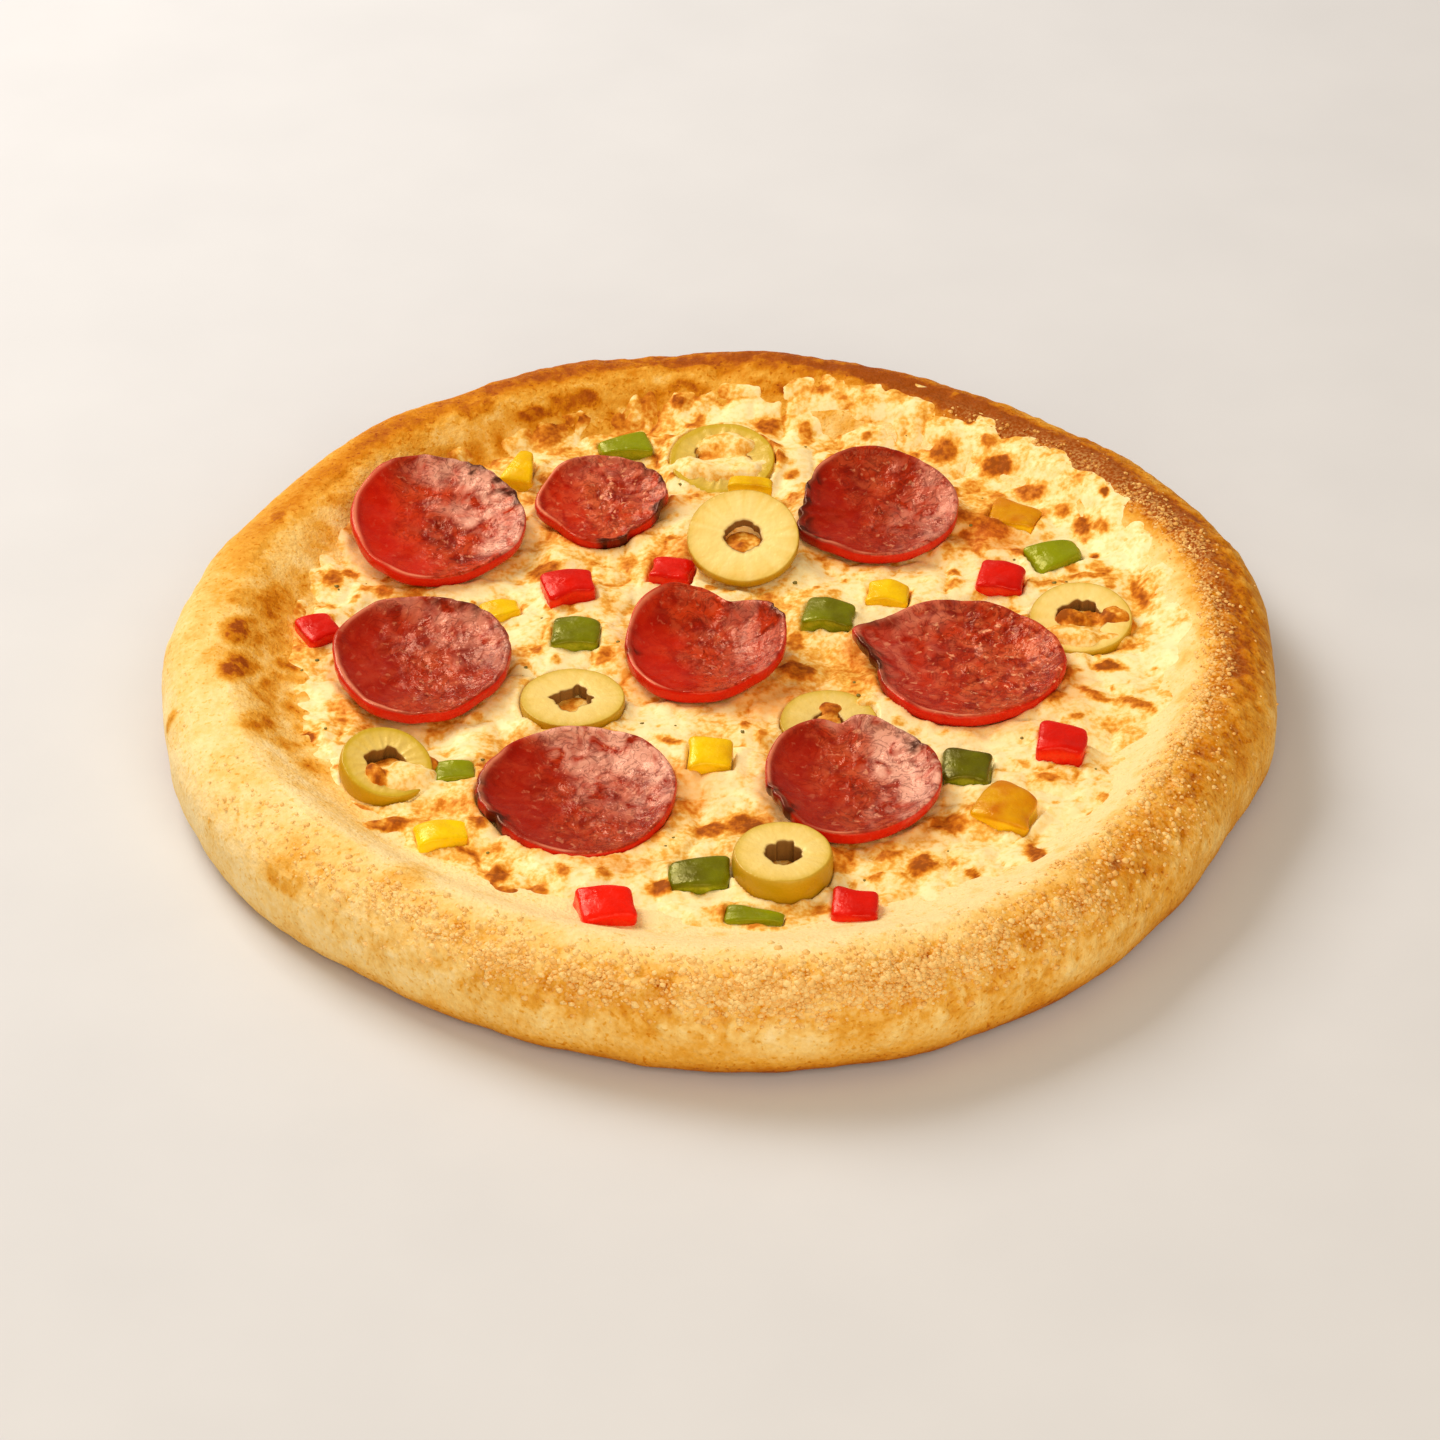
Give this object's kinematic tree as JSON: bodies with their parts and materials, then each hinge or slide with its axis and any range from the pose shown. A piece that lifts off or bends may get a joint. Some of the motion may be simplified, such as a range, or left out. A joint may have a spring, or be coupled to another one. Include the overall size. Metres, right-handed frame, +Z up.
{
  "type": "pan pizza",
  "caption": "Round pan pizza with a thick risen rim, melted cheese, pepperoni slices, green olive rings and diced sweet peppers.",
  "frame": {"origin": "middle of the flat underside", "axes": "+Z up through the topping, +X to the right and +Y to the back as the pizza is seen in the picture"},
  "size_m": [0.2512, 0.2546, 0.0289],
  "materials": {
    "crust": "baked dough, matt, pale gold to amber brown, dusted with meal",
    "cheese": "melted cheese, cream with toasted brown spots, softly glossy",
    "pepperoni": "cured sausage, deep red with pale fat marbling, oily",
    "olive": "green olive flesh, pale yellow with a greener skin, moist",
    "red_pepper": "red sweet pepper, bright and moist",
    "green_pepper": "green sweet pepper, moist",
    "yellow_pepper": "yellow sweet pepper, moist"
  },
  "bodies": {
    "root": {"crust": "crust", "cheese": "cheese", "pepperoni_1": "pepperoni", "pepperoni_2": "pepperoni", "pepperoni_3": "pepperoni", "pepperoni_4": "pepperoni", "pepperoni_5": "pepperoni", "pepperoni_6": "pepperoni", "pepperoni_7": "pepperoni", "pepperoni_8": "pepperoni", "olive_ring_1": "olive", "olive_ring_2": "olive", "olive_ring_3": "olive", "olive_ring_4": "olive", "olive_ring_5": "olive", "olive_ring_6": "olive", "olive_ring_7": "olive", "red_pepper_1": "red_pepper", "red_pepper_2": "red_pepper", "red_pepper_3": "red_pepper", "red_pepper_4": "red_pepper", "red_pepper_5": "red_pepper", "red_pepper_6": "red_pepper", "red_pepper_7": "red_pepper", "green_pepper_1": "green_pepper", "green_pepper_2": "green_pepper", "green_pepper_3": "green_pepper", "green_pepper_4": "green_pepper", "green_pepper_5": "green_pepper", "green_pepper_6": "green_pepper", "green_pepper_7": "green_pepper", "green_pepper_8": "green_pepper", "yellow_pepper_1": "yellow_pepper", "yellow_pepper_2": "yellow_pepper", "yellow_pepper_3": "yellow_pepper", "yellow_pepper_4": "yellow_pepper", "yellow_pepper_5": "yellow_pepper", "yellow_pepper_6": "yellow_pepper", "yellow_pepper_7": "yellow_pepper", "yellow_pepper_8": "yellow_pepper"}
  },
  "joints": []
}
